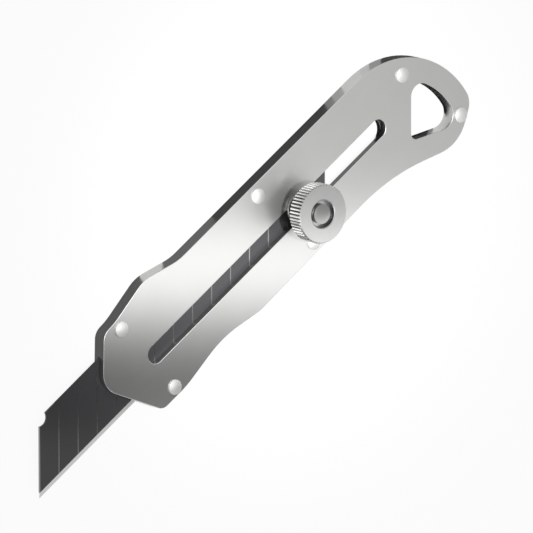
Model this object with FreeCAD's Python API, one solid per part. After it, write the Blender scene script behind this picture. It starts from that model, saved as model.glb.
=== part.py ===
"""Snap-off utility knife with a slotted stainless handle and a knurled clamp knob.

The knife lies on its rear plate. While it is laid out, X runs from the nose (0) to the tail, Y runs
towards the spine from the slot's centreline, and Z rises from the rear plate's outer face.
place_origin() then moves everything to the middle of the knife's footprint.
"""
import FreeCAD, Part
import math
import os

Vector = FreeCAD.Vector

# ---- blade -------------------------------------------------------------------------------------
blade_width = 18.0
blade_thickness = 0.5
blade_length = 119.0              # between the two slanted ends
blade_spine_y = 10.85             # the blade's back, measured from the slot's centreline
score_angle = 54.6                # of the slanted ends and score lines to the cutting edge, degrees
score_pitch = 7.93                # along the blade
score_count = 10
score_width = 0.30
score_depth = 0.12
bevel_width = 1.25                # ground cutting edge
edge_thickness = 0.06
hole_to_rear_end = 12.5           # from the stud hole to the rear end, along the slot's centreline
corner_notch_radius = 2.3         # relief at the front end's upper corner

# ---- handle plates -----------------------------------------------------------------------------
body_length = 140.0
front_plate_thickness = 1.8
rear_plate_thickness = 1.6
edge_round = 0.18                 # tumbled outer edges
blade_play_front = 0.10           # gap between the blade and the front plate
blade_play_rear = 0.30            # gap between the blade and the rear plate
channel_clearance = 0.15          # beside the blade, on each side
spine_wall = 4.6                  # from the channel's upper wall to the straight spine
belly_wall = 6.3                  # from the channel's lower wall to the belly
tail_radius = 27.0                # big round of the tail
tail_drop = 15.05                 # from the channel's lower wall to the tail's lowest corner

# ---- front slot, rear slot and hanging hole ----------------------------------------------------
front_slot_width = 5.2
front_slot_start = 15.0           # from the nose
front_slot_tail_gap = 26.5        # from the slot's end to the tail
rear_slot_width = 8.0
rear_slot_tail_gap = 26.6
hang_hole_rim = 6.4               # between the hole and the tail's round edge
hang_hole_left_gap = 5.2          # from the blade stop to the hole's straight front side
hang_hole_base_slope = -25.2      # degrees
hang_hole_base_drop = 3.6         # from the channel's lower wall to the base line, at the blade stop
hang_hole_top_radius = 3.5
hang_hole_front_radius = 1.8
hang_hole_rear_radius = 4.1

# ---- rivets ------------------------------------------------------------------------------------
rivet_shank_diameter = 2.2
rivet_head_diameter = 4.2
rivet_head_height = 0.85
rivet_rim_height = 0.35           # straight side under the dome
rivet_tail_diameter = 3.4         # countersunk end, flush with the rear face
rivet_tail_depth = 0.6
rivet_hole_clearance = 0.03

# ---- clamp -------------------------------------------------------------------------------------
stud_x = 77.7                     # where the clamp stands along the handle
slot_clearance = 0.10             # each side of the stud's boss and of the slide block
stop_clearance = 0.10             # left at each end of the travel
block_length = 14.8
block_recess = 0.40               # from the rear face up to the block
block_play = 0.05                 # under the blade
stud_diameter = 4.0
stud_head_diameter = 5.5
stud_head_rim = 1.0
stud_head_dome = 0.42
washer_diameter = 9.0
washer_thickness = 0.8
washer_bore_clearance = 0.15
face_gap = 0.05                   # between plate, washer and knob
knob_diameter = 16.5
knob_head_height = 4.7
knob_collar_diameter = 8.4
knob_collar_height = 5.1
knob_chamfer = 0.45
knob_counterbore_diameter = 7.8
knob_counterbore_depth = 1.9
knob_bore_clearance = 0.05
knob_loosening = 0.35             # how far the stud drops when the knob is loosened half a turn
knurl_count = 52
knurl_depth = 0.45

# ---- levels and lines that follow from them ----------------------------------------------------
channel_height = blade_thickness + blade_play_front + blade_play_rear
channel_floor = rear_plate_thickness
channel_roof = channel_floor + channel_height
front_face = channel_roof + front_plate_thickness
blade_bottom = channel_floor + blade_play_rear
blade_edge_y = blade_spine_y - blade_width
channel_top = blade_spine_y + channel_clearance
channel_bottom = blade_edge_y - channel_clearance
spine_y = channel_top + spine_wall
belly_y = channel_bottom - belly_wall
tail_bottom_y = channel_bottom - tail_drop
tail_centre = Vector(body_length - tail_radius, spine_y - 0.1 - tail_radius, 0)
score_run = 1 / math.tan(math.radians(score_angle))   # X gained per unit of Y along a score line

front_slot_end = body_length - front_slot_tail_gap
rear_slot_end = body_length - rear_slot_tail_gap
boss_diameter = front_slot_width - 2 * slot_clearance
block_width = rear_slot_width - 2 * slot_clearance
stud_front_limit = front_slot_start + boss_diameter / 2 + stop_clearance
stud_rear_limit = rear_slot_end - block_length / 2 - stop_clearance
rear_slot_start = stud_front_limit - block_length / 2 - stop_clearance
tail_stop_x = stud_rear_limit + hole_to_rear_end + 2 * stop_clearance
blade_stop_gap = 0.5              # the tail spacer's joint lies this far ahead of the stop face

rivet_radius = rivet_shank_diameter / 2
rivet_places = {
    "rivet_nose_top": (12.9, channel_top + 2.4),
    "rivet_nose_bottom": (17.1, channel_bottom - 4.4),
    "rivet_middle_top": (69.0, channel_top + rivet_radius + 0.3),
    "rivet_middle_bottom": (76.0, channel_bottom - 3.5),
    "rivet_tail_top": (body_length - 14.2, channel_top - 4.2),
    "rivet_tail_bottom": (body_length - 5.3, channel_bottom - 8.5),
}


def rounded_outline(corners):
    """A closed wire of straight runs, each corner (x, y, radius) rounded by a tangent arc."""
    points = [Vector(x, y, 0) for x, y, _ in corners]
    starts = []
    middles = []
    ends = []
    for index, (_, _, radius) in enumerate(corners):
        corner = points[index]
        back = (points[index - 1] - corner).normalize()
        ahead = (points[(index + 1) % len(points)] - corner).normalize()
        half = back.getAngle(ahead) / 2
        run = radius / math.tan(half)
        inward = (back + ahead).normalize()
        starts.append(corner + back * run)
        middles.append(corner + inward * (radius / math.sin(half) - radius))
        ends.append(corner + ahead * run)
    edges = []
    for index in range(len(points)):
        if corners[index][2] > 0:
            edges.append(Part.Arc(starts[index], middles[index], ends[index]).toShape())
        following = (index + 1) % len(points)
        if (starts[following] - ends[index]).Length > 1e-6:
            edges.append(Part.LineSegment(ends[index], starts[following]).toShape())
    return Part.Wire(edges)


def prism(wire, bottom, top):
    """The solid under a flat outline, between two levels."""
    solid = Part.Face(wire).extrude(Vector(0, 0, top - bottom))
    solid.translate(Vector(0, 0, bottom))
    return solid


def polygon_prism(points, bottom, top):
    return prism(rounded_outline([(x, y, 0) for x, y in points]), bottom, top)


def disc(x, y, radius, bottom, top):
    return Part.makeCylinder(radius, top - bottom, Vector(x, y, bottom))


def slot_prism(start, end, width, bottom, top):
    """A slot along the centreline with half-round ends."""
    half = width / 2
    corners = [(start, -half, half), (end, -half, half), (end, half, half), (start, half, half)]
    return prism(rounded_outline(corners), bottom, top)


def turned(profile, x, y):
    """A solid of revolution from (radius, height) points, standing at x, y."""
    points = [Vector(radius, 0, height) for radius, height in profile]
    face = Part.Face(Part.makePolygon(points + points[:1]))
    solid = face.revolve(Vector(0, 0, 0), Vector(0, 0, 1), 360)
    solid.translate(Vector(x, y, 0))
    return solid


def handle_outline():
    """The plates' outline, from the nose along the belly to the tail and back along the spine."""
    return rounded_outline([
        (-1.4, 4.0, 6.4),                                 # nose, between its two slants
        (10.6, belly_y - 0.65, 3.2),                      # lower front corner
        (20.5, belly_y - 0.65, 25.0),                     # start of the finger hollow
        (37.3, belly_y + 2.1, 35.0),                      # bottom of the finger hollow
        (51.2, belly_y - 0.5, 15.0),                      # end of the finger hollow
        (body_length - 34.0, belly_y + 0.1, 65.0),        # where the belly drops to the tail
        (body_length - 10.3, tail_bottom_y, 12.0),        # tail's lowest corner
        (body_length, belly_y - 1.2, 5.6),                # tail's rear corner
        (body_length, spine_y - 0.1, tail_radius),        # big round of the tail
        (38.6, spine_y + 0.3, 16.0),                      # foot of the thumb ramp
        (26.4, spine_y + 3.75, 11.0),                     # crest of the thumb ramp
        (12.2, spine_y + 0.75, 20.0),                     # flat behind the nose
        (7.7, spine_y + 0.65, 4.2),                       # upper front corner
    ])


def stop_face_x(y):
    """X of the slanted face that the blade's rear end meets when it is drawn right back."""
    return tail_stop_x + y * score_run


def channel_prism():
    """The blade's room between the spacers, open at the nose."""
    return polygon_prism([
        (-body_length, channel_bottom),
        (stop_face_x(channel_bottom), channel_bottom),
        (stop_face_x(channel_top), channel_top),
        (-body_length, channel_top),
    ], 0, front_face)


def hang_hole(bottom, top):
    """A rounded three-sided hole: slanted front, sloping base and a back that follows the tail."""
    front_offset = hang_hole_left_gap / math.sin(math.radians(score_angle))
    base_y = channel_bottom - hang_hole_base_drop
    slope = math.tan(math.radians(hang_hole_base_slope))
    front_x = stop_face_x(0) + front_offset
    corner_x = (front_x + score_run * (base_y - slope * tail_stop_x)) / (1 - score_run * slope)
    corner_y = base_y + slope * (corner_x - tail_stop_x)
    reach = 2 * tail_radius
    wedge = polygon_prism([
        (corner_x, corner_y),
        (corner_x + reach, corner_y + reach * slope),
        (corner_x + reach, corner_y + reach),
        (corner_x + reach * score_run, corner_y + reach),
    ], bottom, top)
    back = disc(tail_centre.x, tail_centre.y, tail_radius - hang_hole_rim, bottom, top)
    blank = wedge.common(back).Solids[0]
    uprights = [edge for edge in blank.Edges if abs(edge.tangentAt(edge.FirstParameter).z) > 0.9]
    highest = max(uprights, key=lambda edge: edge.CenterOfMass.y)
    foremost = min(uprights, key=lambda edge: edge.CenterOfMass.x)
    rearmost = min(uprights, key=lambda edge: edge.CenterOfMass.y)
    rounds = ((highest, hang_hole_top_radius), (foremost, hang_hole_front_radius),
              (rearmost, hang_hole_rear_radius))
    for edge, radius in rounds:
        place = edge.CenterOfMass
        matching = min(blank.Edges, key=lambda e: (e.CenterOfMass - place).Length)
        blank = blank.makeFillet(radius, [matching])
    return blank


def rim_edges(solid, level):
    """The edges that lie wholly at one level."""
    return [edge for edge in solid.Edges
            if abs(edge.BoundBox.ZMin - level) < 1e-4 and abs(edge.BoundBox.ZMax - level) < 1e-4]


def rivet_holes(names, bottom, top):
    radius = rivet_radius + rivet_hole_clearance
    return [disc(*rivet_places[name], radius, bottom, top) for name in names]


def make_front_plate():
    plate = prism(handle_outline(), channel_roof, front_face)
    plate = plate.cut(slot_prism(front_slot_start, front_slot_end, front_slot_width,
                                 channel_roof, front_face))
    plate = plate.cut(hang_hole(channel_roof, front_face))
    plate = plate.makeFillet(edge_round, rim_edges(plate, front_face))
    return plate.cut(rivet_holes(rivet_places, channel_roof, front_face))


def make_rear_plate():
    plate = prism(handle_outline(), 0, channel_floor)
    plate = plate.cut(slot_prism(rear_slot_start, rear_slot_end, rear_slot_width, 0, channel_floor))
    plate = plate.cut(hang_hole(0, channel_floor))
    plate = plate.makeFillet(edge_round, rim_edges(plate, 0))
    sinks = [rivet_sink(x, y, rivet_hole_clearance) for x, y in rivet_places.values()]
    return plate.cut(rivet_holes(rivet_places, 0, channel_floor) + sinks)


def rivet_sink(x, y, clearance):
    """The cone of a rivet's flush end, or with a clearance the countersink that it fills."""
    outer = rivet_tail_diameter / 2 + clearance
    inner = rivet_radius + clearance
    return turned([(0, 0), (outer, 0), (inner, rivet_tail_depth), (0, rivet_tail_depth)], x, y)


def spacer_blank():
    blank = prism(handle_outline(), channel_floor, channel_roof)
    return blank.cut(channel_prism())


def joint_x():
    return stop_face_x(channel_bottom) - blade_stop_gap


def strip(sign, names):
    """One long spacer, along the spine (sign 1) or the belly (sign -1), riveted at both ends."""
    room = Part.makeBox(joint_x() + body_length, 2 * body_length, channel_height,
                        Vector(-body_length, min(0, sign) * 2 * body_length, channel_floor))
    solid = spacer_blank().common(room).cut(rivet_holes(names, channel_floor, channel_roof))
    return solid.Solids[0]


def make_tail_spacer():
    """The tail's filler, with the hanging hole through it and the blade's rear stop on its front."""
    room = Part.makeBox(body_length, 4 * body_length, channel_height,
                        Vector(joint_x(), -2 * body_length, channel_floor))
    solid = spacer_blank().common(room)
    solid = solid.cut(hang_hole(channel_floor, channel_roof))
    names = ("rivet_tail_top", "rivet_tail_bottom")
    return solid.cut(rivet_holes(names, channel_floor, channel_roof)).Solids[0]


def make_rivet(x, y):
    """Domed head on the front plate, shank through the stack, and a flush countersunk end."""
    shank = disc(x, y, rivet_radius, 0, front_face + rivet_rim_height)
    rim = disc(x, y, rivet_head_diameter / 2, front_face, front_face + rivet_rim_height)
    rise = rivet_head_height - rivet_rim_height
    half = rivet_head_diameter / 2
    ball_radius = (half * half + rise * rise) / (2 * rise)
    ball = Part.makeSphere(ball_radius,
                           Vector(x, y, front_face + rivet_head_height - ball_radius))
    cap = disc(x, y, half, front_face + rivet_rim_height, front_face + rivet_head_height)
    return shank.fuse([rim, ball.common(cap), rivet_sink(x, y, 0)]).removeSplitter()


def make_blade():
    """A scored snap-off blade: slanted ends, ground edge, stud hole and a relieved front corner."""
    top = blade_bottom + blade_thickness
    rear_x = stud_x + hole_to_rear_end
    front_x = rear_x - blade_length
    spine_run = blade_spine_y * score_run
    edge_run = blade_edge_y * score_run
    blade = polygon_prism([
        (front_x + edge_run, blade_edge_y),
        (rear_x + edge_run, blade_edge_y),
        (rear_x + spine_run, blade_spine_y),
        (front_x + spine_run, blade_spine_y),
    ], blade_bottom, top)
    middle = (blade_bottom + top) / 2
    grinds = []
    for side in (-1, 1):
        face = middle + side * blade_thickness / 2
        edge = middle + side * edge_thickness / 2
        beyond = middle + side * blade_thickness
        section = Part.makePolygon([
            Vector(front_x - blade_length, blade_edge_y + bevel_width, face),
            Vector(front_x - blade_length, blade_edge_y - bevel_width, 2 * edge - face),
            Vector(front_x - blade_length, blade_edge_y - bevel_width, beyond),
            Vector(front_x - blade_length, blade_edge_y + bevel_width, beyond),
            Vector(front_x - blade_length, blade_edge_y + bevel_width, face),
        ])
        grinds.append(Part.Face(section).extrude(Vector(3 * blade_length, 0, 0)))
    scores = [score_groove(front_x + score_pitch * number, top)
              for number in range(1, score_count + 1)]
    hole = disc(stud_x, 0, boss_diameter / 2 + slot_clearance, blade_bottom, top)
    notch = disc(front_x + spine_run, blade_spine_y, corner_notch_radius, blade_bottom, top)
    return blade.cut(grinds + scores + [hole, notch])


def score_groove(x, top):
    """A shallow V across the blade's front, from its back to the ground edge."""
    upper = blade_spine_y + 1
    lower = blade_edge_y + bevel_width
    start = Vector(x + upper * score_run, upper, top)
    run = Vector((lower - upper) * score_run, lower - upper, 0)
    across = Vector(score_width / 2, 0, 0)
    above = Vector(0, 0, score_depth)
    corners = [start - across + above, start - above, start + across + above]
    section = Part.makePolygon(corners + corners[:1])
    return Part.Face(section).extrude(run)


def make_slide_block():
    """The block that rides in the rear slot and clamps the blade against the front plate."""
    half_length = block_length / 2
    block = slot_prism(stud_x - half_length, stud_x + half_length, block_width,
                       block_recess, blade_bottom - block_play)
    return block.cut(disc(stud_x, 0, stud_diameter / 2, block_recess, blade_bottom))


def knob_levels():
    """Heights of the washer's top, the knob's foot, its head and its face."""
    washer_top = front_face + face_gap + washer_thickness
    foot = washer_top + face_gap
    head = foot + knob_collar_height
    return washer_top, foot, head, head + knob_head_height


def make_clamp_stud():
    """Stepped stud: end riveted into the slide block, boss through blade and slot, domed outer end."""
    _, _, _, face = knob_levels()
    boss = boss_diameter / 2
    shank = stud_diameter / 2
    head = stud_head_diameter / 2
    floor = face - knob_counterbore_depth
    seat = floor + knob_loosening + slot_clearance
    block_top = blade_bottom - block_play
    boss_top = front_face - face_gap
    body = turned([
        (0, block_recess), (shank, block_recess), (shank, block_top), (boss, block_top),
        (boss, boss_top), (shank, boss_top), (shank, seat), (head, seat),
        (head, seat + stud_head_rim), (0, seat + stud_head_rim),
    ], stud_x, 0)
    ball_radius = (head * head + stud_head_dome * stud_head_dome) / (2 * stud_head_dome)
    top = seat + stud_head_rim + stud_head_dome
    ball = Part.makeSphere(ball_radius, Vector(stud_x, 0, top - ball_radius))
    cap = disc(stud_x, 0, head, seat + stud_head_rim, top)
    return body.fuse(ball.common(cap)).removeSplitter()


def make_washer():
    bottom = front_face + face_gap
    ring = disc(stud_x, 0, washer_diameter / 2, bottom, bottom + washer_thickness)
    bore = stud_diameter / 2 + washer_bore_clearance
    ring = ring.cut(disc(stud_x, 0, bore, bottom, bottom + washer_thickness))
    return ring.makeChamfer(edge_round, rim_edges(ring, bottom + washer_thickness)[:1])


def make_knob():
    """High knurled nut: plain collar, straight-knurled head, chamfered rims and a counterbored face."""
    _, foot, head, face = knob_levels()
    outer = knob_diameter / 2
    valley = outer - knurl_depth
    points = []
    for tooth in range(knurl_count):
        for radius, share in ((outer, -0.14), (outer, 0.14), (valley, 0.5)):
            angle = 2 * math.pi * (tooth + share) / knurl_count
            points.append(Vector(radius * math.cos(angle), radius * math.sin(angle), 0))
    knurl = prism(Part.makePolygon(points + points[:1]), head, face)
    bore = stud_diameter / 2 + knob_bore_clearance
    counterbore = knob_counterbore_diameter / 2
    floor = face - knob_counterbore_depth
    collar = knob_collar_diameter / 2
    turned_blank = turned([
        (bore, foot), (collar, foot), (collar, head), (outer - knob_chamfer, head),
        (outer, head + knob_chamfer), (outer, face - knob_chamfer), (outer - knob_chamfer, face),
        (counterbore + knob_chamfer / 2, face), (counterbore, face - knob_chamfer / 2),
        (counterbore, floor), (bore, floor),
    ], 0, 0)
    collar_room = disc(0, 0, collar + 0.01, foot, head)
    knob = turned_blank.common(knurl.fuse(collar_room))
    knob.translate(Vector(stud_x, 0, 0))
    return knob.Solids[0]


def make_pieces():
    pieces = {
        "front_plate": make_front_plate(),
        "rear_plate": make_rear_plate(),
        "spine_spacer": strip(1, ("rivet_nose_top", "rivet_middle_top")),
        "belly_spacer": strip(-1, ("rivet_nose_bottom", "rivet_middle_bottom")),
        "tail_spacer": make_tail_spacer(),
        "blade": make_blade(),
        "slide_block": make_slide_block(),
        "clamp_stud": make_clamp_stud(),
        "plate_washer": make_washer(),
        "clamp_knob": make_knob(),
    }
    for name, (x, y) in rivet_places.items():
        pieces[name] = make_rivet(x, y)
    return pieces


def place_origin(pieces):
    """Moves every piece so that the origin is under the middle of the knife, on its rear face."""
    box = Part.makeCompound(list(pieces.values())).optimalBoundingBox(False, False)
    shift = Vector(-(box.XMin + box.XMax) / 2, -(box.YMin + box.YMax) / 2, -box.ZMin)
    for solid in pieces.values():
        solid.translate(shift)
    return shift


def main():
    os.makedirs("parts", exist_ok=True)
    pieces = make_pieces()
    shift = place_origin(pieces)
    for name, shape in pieces.items():
        shape.exportStep(f"parts/{name}.step")
        print(f"{name:22s} solids {len(shape.Solids)} valid {shape.isValid()} "
              f"volume {shape.Volume:.1f}")
    print(f"layout origin moved by {shift.x:.3f}, {shift.y:.3f}, {shift.z:.3f}")
    print(f"travel forward {stud_x - stud_front_limit:.3f}, back {stud_rear_limit - stud_x:.3f}")


main()
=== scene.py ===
"""Looks of the snap-off utility knife: satin stainless handle, black blade, knurled clamp knob."""

import math

import bpy
from mathutils import Matrix, Vector


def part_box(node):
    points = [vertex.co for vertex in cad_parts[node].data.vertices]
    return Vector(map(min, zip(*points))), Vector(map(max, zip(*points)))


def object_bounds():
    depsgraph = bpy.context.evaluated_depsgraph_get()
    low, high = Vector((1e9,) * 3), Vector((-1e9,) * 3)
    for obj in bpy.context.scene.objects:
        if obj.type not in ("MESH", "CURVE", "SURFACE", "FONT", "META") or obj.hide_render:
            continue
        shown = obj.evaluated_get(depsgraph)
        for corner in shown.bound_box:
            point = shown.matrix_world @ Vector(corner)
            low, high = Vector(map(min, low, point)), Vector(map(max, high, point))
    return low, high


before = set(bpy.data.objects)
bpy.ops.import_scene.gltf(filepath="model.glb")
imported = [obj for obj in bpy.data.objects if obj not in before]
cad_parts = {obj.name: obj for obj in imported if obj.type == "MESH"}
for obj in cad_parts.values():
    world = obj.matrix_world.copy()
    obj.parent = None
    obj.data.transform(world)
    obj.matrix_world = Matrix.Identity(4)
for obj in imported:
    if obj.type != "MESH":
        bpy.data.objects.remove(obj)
cad_low, cad_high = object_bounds()

MM = 0.001

# ---- places taken from the frame ---------------------------------------------------------------
plate_low, plate_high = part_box("front_plate")
blade_low, blade_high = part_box("blade")
knob_low, knob_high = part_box("clamp_knob")
nose_x = plate_low.x
plate_top = plate_high.z
knob_x = (knob_low.x + knob_high.x) / 2
slot_y = (knob_low.y + knob_high.y) / 2      # centreline of the slots
knob_radius = (knob_high.y - knob_low.y) / 2

# ---- view --------------------------------------------------------------------------------------
VIEW_TILT = math.radians(38.28)              # between the line of sight and the plate's normal
VIEW_FALL = math.radians(-52.48)             # direction on the plate that the view shortens
VIEW_ROLL = math.radians(13.5)
VIEW_WIDTH = 145.45 * MM                     # seen across the picture, at the front plate
LENS = 1000.0
SENSOR = 36.0
VIEW_CENTRE = Vector((nose_x + 59.9 * MM, slot_y - 5.5 * MM, plate_top))

# ---- blade marks ------------------------------------------------------------------------------
GRIND_WIDTH = 1.25 * MM
SCORE_PITCH = 7.93 * MM
SCORE_WIDTH = 0.34 * MM                      # along the blade; drawn a little wider, so that it shows
SCORE_RUN = 1 / math.tan(math.radians(54.6))
FIRST_SCORE = nose_x - 28.8 * MM - slot_y * SCORE_RUN     # where the first line would cross y = 0

# ---- light -------------------------------------------------------------------------------------
KEY_DIRECTION = Vector((-0.186, 0.254, 1.0)).normalized()
KEY_DISTANCE = 0.55
KEY_SIZE = 0.02
KEY_POWER = 12.0
KEY_REACH = 95 * MM                          # radius of the soft pool of light round the knob
ROOM_LEVEL = 0.55                            # plain room light
CARD_HEIGHT = 30 * MM                        # the graded card hangs this far over the plate
CARD_STRENGTH = 1.65
CARD_HALF = 160 * MM                         # half the card's side
CARD_DARKENS = Vector((-0.6664, -0.7456, 0))           # the way the card darkens, to the nose
CARD_RUN = 80                                # the tones reach this far each way, in millimetres
# Each tone is a distance in millimetres along CARD_DARKENS, from the place on the card that the
# middle of the view mirrors, and the grey level there.
CARD_TONES = (
    (-26.0, 0.355), (-20.0, 0.41), (-12.0, 0.66), (-6.0, 0.90), (5.0, 0.97),
    (13.0, 0.47), (19.0, 0.13), (24.0, 0.02), (43.0, 0.02), (50.0, 0.4))

# Dark strips lie on the floor beside and under the handle, seen only in reflections. They keep the
# cut edges dark, and the gaps between them give the light stretches. Each is a grey level and its
# corners, in millimetres from the nose and from the slots' centreline.
DARK_STRIPS = (
    (0.17, ((-14, 3), (6, 3), (28, 14), (28, 30), (-14, 30))),
    (0.22, ((36, 13), (56, 13), (56, 30), (36, 30))),
    (0.08, ((56, 13), (103, 13), (103, 30), (56, 30))),
    (0.35, ((103, 13), (106, 13), (106, 30), (103, 30))),
    (0.60, ((106, 13), (110, 13), (110, 30), (106, 30))),
    (0.90, ((117.5, 13), (121, 13), (121, 30), (117.5, 30))),
    (0.50, ((121, 13), (125, 13), (128, 30), (121, 30))),
    (0.08, ((125, 13), (146, -6), (150, 30), (128, 30))),
    (0.25, ((84, -3.5), (110, -3.5), (110, 3.5), (84, 3.5))),
    (0.01, ((110, -3.5), (115, -3.5), (115, 3.5), (110, 3.5))),
    (0.01, ((125, 9), (141, 9), (141, -14), (131.5, -14), (130.5, -10.5), (127, -8))),
    (0.02, ((118, -8), (126, -10.5), (126, -15), (118, -15))),
    (0.30, ((126, -10.5), (127.5, -11), (127.5, -15), (126, -15))),
)
STRIP_LIFT = 0.2 * MM                        # over the handle's rear face
FLOOR_HALF = 4.0                             # half the floor's side, in metres
FLOOR_GLOW = 0.93                            # share of plain white where the floor is seen
FLOOR_GAP = 0.02 * MM                        # under the handle, so that the two never coincide


def srgb(code):
    """A linear RGBA colour from an sRGB hex code."""
    values = [int(code[place:place + 2], 16) / 255 for place in (0, 2, 4)]
    linear = [v / 12.92 if v <= 0.04045 else ((v + 0.055) / 1.055) ** 2.4 for v in values]
    return (*linear, 1.0)


def add(tree, kind, links=None, **settings):
    """One shader node: settings are its properties, or sockets by name; links feed its sockets."""
    node = tree.nodes.new("ShaderNode" + kind)
    for name, value in settings.items():
        if hasattr(node, name):
            setattr(node, name, value)
        else:
            node.inputs[name.replace("_", " ")].default_value = value
    for name, source in (links or {}).items():
        tree.links.new(source, node.inputs[name])
    return node


def new_material(name):
    """An empty material, its node tree and its output."""
    material = bpy.data.materials.new(name)
    material.use_nodes = True
    tree = material.node_tree
    tree.nodes.clear()
    return material, tree, add(tree, "OutputMaterial")


def place_camera():
    fall = Vector((math.cos(VIEW_FALL), math.sin(VIEW_FALL), 0))
    level = Vector((math.sin(VIEW_FALL), -math.cos(VIEW_FALL), 0))
    normal = Vector((0, 0, 1))
    back = normal * math.cos(VIEW_TILT) - fall * math.sin(VIEW_TILT)
    low = fall * math.cos(VIEW_TILT) + normal * math.sin(VIEW_TILT)
    right = low * math.cos(VIEW_ROLL) - level * math.sin(VIEW_ROLL)
    up = -(low * math.sin(VIEW_ROLL) + level * math.cos(VIEW_ROLL))
    data = bpy.data.cameras.new("camera")
    data.lens = LENS
    data.sensor_width = SENSOR
    data.clip_start = 0.05
    data.clip_end = 20
    camera = bpy.data.objects.new("camera", data)
    bpy.context.scene.collection.objects.link(camera)
    turn = Matrix((right, up, back)).transposed().to_4x4()
    distance = VIEW_WIDTH * LENS / SENSOR
    camera.matrix_world = Matrix.Translation(VIEW_CENTRE + back * distance) @ turn
    bpy.context.scene.camera = camera


def satin_stainless():
    """Cold-rolled stainless sheet, satin finished: fine grain along the sheet, soft broad gloss. Its
    cut edges are smoother, and painted shade makes them darker, so they read as a dark outline round
    the plates."""
    material, tree, output = new_material("satin_stainless_sheet")
    place = add(tree, "TexCoord")
    grain_map = add(tree, "Mapping", {"Vector": place.outputs["Object"]}, Scale=(150, 2600, 2600))
    grain = add(tree, "TexNoise", {"Vector": grain_map.outputs["Vector"]},
                Scale=1.0, Detail=3.0, Roughness=0.6)
    cloud = add(tree, "TexNoise", {"Vector": place.outputs["Object"]}, Scale=90.0, Detail=3.0)
    facing = add(tree, "SeparateXYZ", {"Vector": place.outputs["Normal"]})
    flat = add(tree, "Math", {0: facing.outputs["Z"]}, operation="ABSOLUTE")
    cut = add(tree, "MapRange", {"Value": flat.outputs["Value"]},
              From_Min=0.35, From_Max=0.05, To_Min=0.0, To_Max=1.0)
    satin = add(tree, "MapRange", {"Value": grain.outputs["Fac"]}, To_Min=0.37, To_Max=0.43)
    rough = add(tree, "MixRGB", {"Fac": cut.outputs["Result"], "Color1": satin.outputs["Result"]},
                Color2=(0.3, 0.3, 0.3, 1))
    sheet = add(tree, "MixRGB", {"Fac": cloud.outputs["Fac"]},
                Color1=srgb("D2D2D0"), Color2=srgb("D9D9D8"))
    # painted shade: faces that stand edge-on (the cut edges) take the darker colour BCBCBB
    tint = add(tree, "MixRGB", {"Fac": cut.outputs["Result"], "Color1": sheet.outputs["Color"]},
               Color2=srgb("BCBCBB"))
    bump = add(tree, "Bump", {"Height": grain.outputs["Fac"]}, Strength=0.04, Distance=0.00002)
    shader = add(tree, "BsdfPrincipled", {
        "Base Color": tint.outputs["Color"], "Roughness": rough.outputs["Color"],
        "Normal": bump.outputs["Normal"]}, Metallic=1.0)
    tree.links.new(shader.outputs["BSDF"], output.inputs["Surface"])
    return material


def plain_metal(name, light, dark, smooth, rough, scale):
    """A turned, drawn or cold-headed metal: small changes of colour and gloss, no direction."""
    material, tree, output = new_material(name)
    place = add(tree, "TexCoord")
    mottle = add(tree, "TexNoise", {"Vector": place.outputs["Object"]}, Scale=scale, Detail=4.0)
    tint = add(tree, "MixRGB", {"Fac": mottle.outputs["Fac"]},
               Color1=srgb(light), Color2=srgb(dark))
    gloss = add(tree, "MapRange", {"Value": mottle.outputs["Fac"]}, To_Min=smooth, To_Max=rough)
    bump = add(tree, "Bump", {"Height": mottle.outputs["Fac"]}, Strength=0.05, Distance=0.00002)
    shader = add(tree, "BsdfPrincipled", {
        "Base Color": tint.outputs["Color"], "Roughness": gloss.outputs["Result"],
        "Normal": bump.outputs["Normal"]}, Metallic=1.0)
    tree.links.new(shader.outputs["BSDF"], output.inputs["Surface"])
    return material


def knurled_knob():
    """Satin nickel plate on a turned knob: bright crests on the knurl, and painted shade in its roots
    and in the counterbore, so that the straight knurl reads as fine black and white lines."""
    material, tree, output = new_material("satin_nickel_plated_knob")
    place = add(tree, "TexCoord")
    arm = add(tree, "VectorMath", {0: place.outputs["Object"]}, operation="SUBTRACT")
    arm.inputs[1].default_value = (knob_x, slot_y, 0)
    level = add(tree, "VectorMath", {0: arm.outputs["Vector"]}, operation="MULTIPLY")
    level.inputs[1].default_value = (1, 1, 0)
    radius = add(tree, "VectorMath", {0: level.outputs["Vector"]}, operation="LENGTH")
    root = add(tree, "MapRange", {"Value": radius.outputs["Value"]},
               From_Min=knob_radius - 0.12 * MM, From_Max=knob_radius - 0.38 * MM)
    facing = add(tree, "SeparateXYZ", {"Vector": place.outputs["Normal"]})
    flat = add(tree, "Math", {0: facing.outputs["Z"]}, operation="ABSOLUTE")
    side = add(tree, "Math", {0: flat.outputs["Value"]}, operation="LESS_THAN")
    side.inputs[1].default_value = 0.3
    # painted shade: every side face inside the knurl's crests, in its roots and in the counterbore,
    # is coloured dark 48484A
    painted_root_shade = add(tree, "Math", {0: root.outputs["Result"], 1: side.outputs["Value"]},
               operation="MULTIPLY")
    mottle = add(tree, "TexNoise", {"Vector": place.outputs["Object"]}, Scale=400.0, Detail=4.0)
    plate = add(tree, "MixRGB", {"Fac": mottle.outputs["Fac"]},
                Color1=srgb("CACAC9"), Color2=srgb("D2D2D1"))
    tint = add(tree, "MixRGB", {"Fac": painted_root_shade.outputs["Value"], "Color1": plate.outputs["Color"]},
               Color2=srgb("48484A"))
    gloss = add(tree, "MapRange", {"Value": mottle.outputs["Fac"]}, To_Min=0.26, To_Max=0.31)
    shader = add(tree, "BsdfPrincipled", {
        "Base Color": tint.outputs["Color"], "Roughness": gloss.outputs["Result"]}, Metallic=1.0)
    tree.links.new(shader.outputs["BSDF"], output.inputs["Surface"])
    return material


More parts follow.
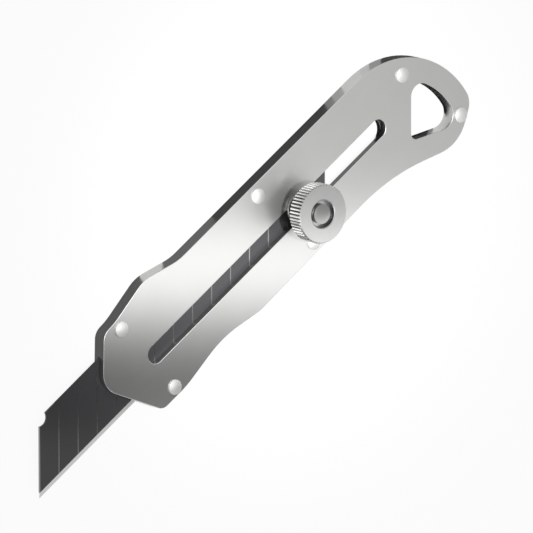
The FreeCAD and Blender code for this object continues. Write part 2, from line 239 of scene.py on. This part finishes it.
def black_oxide_blade():
    """Black-oxide blade steel: near black with a satin sheen. Bare steel shows in the score lines
    and along the ground edge."""
    material, tree, output = new_material("black_oxide_blade_steel")
    place = add(tree, "TexCoord")
    axes = add(tree, "SeparateXYZ", {"Vector": place.outputs["Object"]})
    ground = add(tree, "Math", {0: axes.outputs["Y"]}, operation="LESS_THAN")
    ground.inputs[1].default_value = blade_low.y + GRIND_WIDTH
    slant = add(tree, "VectorMath", {0: place.outputs["Object"]}, operation="DOT_PRODUCT")
    slant.inputs[1].default_value = (1 / SCORE_PITCH, -SCORE_RUN / SCORE_PITCH, 0)
    start = add(tree, "Math", {0: slant.outputs["Value"]}, operation="SUBTRACT")
    start.inputs[1].default_value = FIRST_SCORE / SCORE_PITCH - 0.5
    lap = add(tree, "Math", {0: start.outputs["Value"]}, operation="FRACT")
    off = add(tree, "Math", {0: lap.outputs["Value"]}, operation="SUBTRACT")
    off.inputs[1].default_value = 0.5
    near = add(tree, "Math", {0: off.outputs["Value"]}, operation="ABSOLUTE")
    line = add(tree, "Math", {0: near.outputs["Value"]}, operation="LESS_THAN")
    line.inputs[1].default_value = SCORE_WIDTH / 2 / SCORE_PITCH
    front = add(tree, "Math", {0: axes.outputs["Z"]}, operation="GREATER_THAN")
    front.inputs[1].default_value = blade_high.z - 0.2 * MM
    score = add(tree, "Math", {0: line.outputs["Value"], 1: front.outputs["Value"]},
                operation="MULTIPLY")
    bare = add(tree, "Math", {0: ground.outputs["Value"], 1: score.outputs["Value"]},
               operation="MAXIMUM")
    grain_map = add(tree, "Mapping", {"Vector": place.outputs["Object"]}, Scale=(200, 3000, 3000))
    grain = add(tree, "TexNoise", {"Vector": grain_map.outputs["Vector"]}, Scale=1.0, Detail=2.0)
    oxide = add(tree, "MixRGB", {"Fac": grain.outputs["Fac"]},
                Color1=srgb("444446"), Color2=srgb("474749"))
    steel = add(tree, "MixRGB", {"Fac": ground.outputs["Value"]},
                Color1=srgb("A8A8A6"), Color2=srgb("ECECEA"))
    colour = add(tree, "MixRGB", {"Fac": bare.outputs["Value"], "Color1": oxide.outputs["Color"],
                                  "Color2": steel.outputs["Color"]})
    rough = add(tree, "MapRange", {"Value": grain.outputs["Fac"]}, To_Min=0.27, To_Max=0.30)
    shader = add(tree, "BsdfPrincipled", {
        "Base Color": colour.outputs["Color"], "Roughness": rough.outputs["Result"],
        "Metallic": bare.outputs["Value"]}, IOR=1.45)
    tree.links.new(shader.outputs["BSDF"], output.inputs["Surface"])
    return material


def dress(node, material):
    """Gives a CAD node its finish in every material slot."""
    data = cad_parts[node].data
    if not data.materials:
        data.materials.append(material)
    for index in range(len(data.materials)):
        data.materials[index] = material


def make_finishes():
    sheet = satin_stainless()
    strip = plain_metal("rolled_stainless_strip", "B4B4B2", "C4C4C2", 0.3, 0.4, 700)
    headed = plain_metal("cold_headed_stainless", "DADAD8", "E2E2E0", 0.62, 0.68, 600)
    turned = plain_metal("turned_bright_steel", "9C9C9A", "A8A8A6", 0.2, 0.26, 500)
    plated = knurled_knob()
    blade = black_oxide_blade()
    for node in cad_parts:
        if node in ("front_plate", "rear_plate"):
            dress(node, sheet)
        elif node.endswith("spacer"):
            dress(node, strip)
        elif node.startswith("rivet"):
            dress(node, headed)
        elif node == "blade":
            dress(node, blade)
        elif node == "clamp_knob":
            dress(node, plated)
        else:
            dress(node, turned)


def flat_piece(name, corners, height):
    mesh = bpy.data.meshes.new(name)
    points = [(x, y, height) for x, y in corners]
    mesh.from_pydata(points, [], [tuple(range(len(points)))])
    piece = bpy.data.objects.new(name, mesh)
    bpy.context.scene.collection.objects.link(piece)
    return piece


def make_floor():
    """A pale matt floor that the camera sees as plain white, with the knife's soft shadow on it.

    It is clear from below, so the handle's rear face can be looked at too."""
    floor = flat_piece("floor", [
        (-FLOOR_HALF, -FLOOR_HALF), (FLOOR_HALF, -FLOOR_HALF),
        (FLOOR_HALF, FLOOR_HALF), (-FLOOR_HALF, FLOOR_HALF)],
                       cad_low.z - FLOOR_GAP)
    material, tree, output = new_material("white_floor")
    path = add(tree, "LightPath")
    seen = add(tree, "Math", {0: path.outputs["Is Camera Ray"], 1: path.outputs["Is Glossy Ray"]},
               operation="MAXIMUM")
    both = add(tree, "Math", {0: seen.outputs["Value"],
                              1: path.outputs["Is Transmission Ray"]}, operation="MAXIMUM")
    share = add(tree, "Math", {0: both.outputs["Value"]}, operation="MULTIPLY")
    share.inputs[1].default_value = FLOOR_GLOW
    paper = add(tree, "BsdfDiffuse", Color=srgb("F4F4F2"))
    glow = add(tree, "Emission", Color=(1, 1, 1, 1), Strength=1.0)
    mix = add(tree, "MixShader", {0: share.outputs["Value"], 1: paper.outputs["BSDF"],
                                  2: glow.outputs["Emission"]})
    side = add(tree, "NewGeometry")
    clear = add(tree, "BsdfTransparent")
    one_sided = add(tree, "MixShader", {0: side.outputs["Backfacing"], 1: mix.outputs["Shader"],
                                        2: clear.outputs["BSDF"]})
    tree.links.new(one_sided.outputs["Shader"], output.inputs["Surface"])
    floor.data.materials.append(material)


def make_card():
    """The graded light card over the knife: bright in the middle, grey to the tail, dark to the nose.

    It is seen only in reflections, so it gives the satin plate its soft bands.
    """
    centre = Vector((knob_x, slot_y, plate_top + CARD_HEIGHT))
    card = flat_piece("light_card", [
        (centre.x - CARD_HALF, centre.y - CARD_HALF), (centre.x + CARD_HALF, centre.y - CARD_HALF),
        (centre.x + CARD_HALF, centre.y + CARD_HALF),
        (centre.x - CARD_HALF, centre.y + CARD_HALF)], centre.z)
    card.visible_camera = False
    card.visible_diffuse = False
    card.visible_shadow = False
    card.visible_transmission = False
    material, tree, output = new_material("graded_card")
    place = add(tree, "TexCoord")
    reach = math.tan(VIEW_TILT) * CARD_HEIGHT
    fall = Vector((math.cos(VIEW_FALL), math.sin(VIEW_FALL), 0))
    start = VIEW_CENTRE + fall * reach
    shade = add(tree, "VectorMath", {0: place.outputs["Object"]}, operation="DOT_PRODUCT")
    shade.inputs[1].default_value = CARD_DARKENS
    low = start.dot(CARD_DARKENS) - CARD_RUN * MM
    high = start.dot(CARD_DARKENS) + CARD_RUN * MM
    run = add(tree, "MapRange", {"Value": shade.outputs["Value"]}, From_Min=low, From_Max=high)
    ramp = add(tree, "ValToRGB", {"Fac": run.outputs["Result"]})
    elements = ramp.color_ramp.elements
    while len(elements) < len(CARD_TONES):
        elements.new(0.5)
    for element, (where, level) in zip(elements, CARD_TONES):
        element.position = (where + CARD_RUN) / (2 * CARD_RUN)
        element.color = (level, level, level, 1)
    glow = add(tree, "Emission", {"Color": ramp.outputs["Color"]}, Strength=CARD_STRENGTH)
    tree.links.new(glow.outputs["Emission"], output.inputs["Surface"])
    card.data.materials.append(material)


def make_dark_strips():
    for number, (level, corners) in enumerate(DARK_STRIPS, 1):
        places = [(nose_x + x * MM, slot_y + y * MM) for x, y in corners]
        strip = flat_piece(f"dark_strip_{number}", places, cad_low.z + STRIP_LIFT)
        strip.visible_camera = False
        strip.visible_diffuse = False
        strip.visible_shadow = False
        strip.visible_transmission = False
        material, tree, output = new_material(f"dark_strip_{number}")
        glow = add(tree, "Emission", Color=(1, 1, 1, 1), Strength=level)
        tree.links.new(glow.outputs["Emission"], output.inputs["Surface"])
        strip.data.materials.append(material)


def make_lamp():
    data = bpy.data.lights.new("key", "SPOT")
    data.shadow_soft_size = KEY_SIZE / 2
    data.spot_size = 2 * math.atan(KEY_REACH / KEY_DISTANCE)
    data.spot_blend = 1.0
    data.energy = KEY_POWER
    lamp = bpy.data.objects.new("key", data)
    bpy.context.scene.collection.objects.link(lamp)
    place = Vector((knob_x, slot_y, plate_top)) + KEY_DIRECTION * KEY_DISTANCE
    turn = KEY_DIRECTION.to_track_quat("Z", "Y").to_matrix().to_4x4()
    lamp.matrix_world = Matrix.Translation(place) @ turn


def make_room():
    world = bpy.data.worlds.new("room")
    world.use_nodes = True
    tree = world.node_tree
    tree.nodes.clear()
    output = add(tree, "OutputWorld")
    path = add(tree, "LightPath")
    plain = add(tree, "Background", Color=(1, 1, 1, 1), Strength=ROOM_LEVEL)
    white = add(tree, "Background", Color=(1, 1, 1, 1), Strength=1.0)
    mix = add(tree, "MixShader", {0: path.outputs["Is Camera Ray"], 1: plain.outputs["Background"],
                                  2: white.outputs["Background"]})
    tree.links.new(mix.outputs["Shader"], output.inputs["Surface"])
    bpy.context.scene.world = world


place_camera()
make_finishes()
make_floor()
make_card()
make_dark_strips()
make_lamp()
make_room()
bpy.context.scene.view_settings.view_transform = "Standard"
